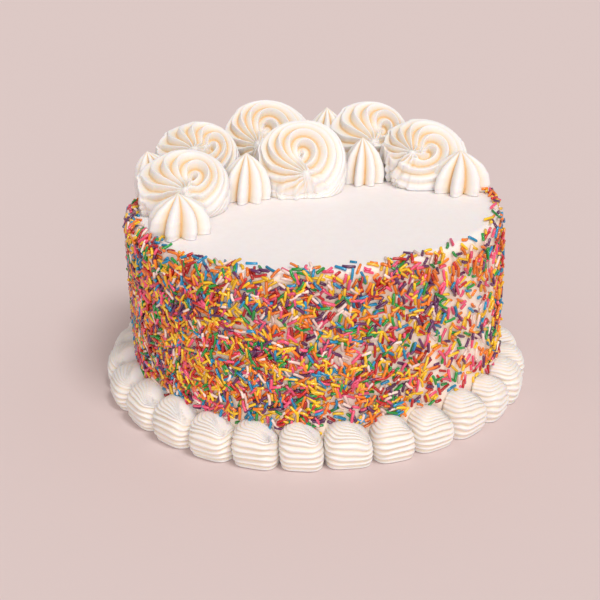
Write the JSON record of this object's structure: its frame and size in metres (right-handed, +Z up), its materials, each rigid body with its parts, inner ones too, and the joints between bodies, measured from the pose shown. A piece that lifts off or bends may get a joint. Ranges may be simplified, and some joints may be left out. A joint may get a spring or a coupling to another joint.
{
  "type": "cream cake",
  "caption": "Round iced cream cake with a sprinkle-covered side, piped cream shells round its foot and a crescent of cream swirls and star kisses on top",
  "frame": {"origin": "on the surface the cake stands on, under the middle of the cake", "axes": "+Z up, -Y towards the bare front of the top, +X to the right seen from the front"},
  "size_m": [0.2588, 0.2515, 0.1513],
  "materials": {
    "sprinkled_icing": "smooth cream icing, its side thickly covered with coloured sugar sprinkles",
    "piped_cream": "warm white piped cream, satin, softly translucent"
  },
  "bodies": {
    "root": {"cake": "sprinkled_icing", "kiss_back": "piped_cream", "kiss_centre_left": "piped_cream", "kiss_centre_right": "piped_cream", "kiss_front_left": "piped_cream", "kiss_left": "piped_cream", "kiss_right": "piped_cream", "shell_01": "piped_cream", "shell_02": "piped_cream", "shell_03": "piped_cream", "shell_04": "piped_cream", "shell_05": "piped_cream", "shell_06": "piped_cream", "shell_07": "piped_cream", "shell_08": "piped_cream", "shell_09": "piped_cream", "shell_10": "piped_cream", "shell_11": "piped_cream", "shell_12": "piped_cream", "shell_13": "piped_cream", "shell_14": "piped_cream", "shell_15": "piped_cream", "shell_16": "piped_cream", "shell_17": "piped_cream", "shell_18": "piped_cream", "shell_19": "piped_cream", "shell_20": "piped_cream", "shell_21": "piped_cream", "shell_22": "piped_cream", "shell_23": "piped_cream", "shell_24": "piped_cream", "shell_25": "piped_cream", "shell_26": "piped_cream", "shell_27": "piped_cream", "shell_28": "piped_cream", "swirl_back_left": "piped_cream", "swirl_back_right": "piped_cream", "swirl_front": "piped_cream", "swirl_left": "piped_cream", "swirl_left_back": "piped_cream", "swirl_right": "piped_cream"}
  },
  "joints": []
}
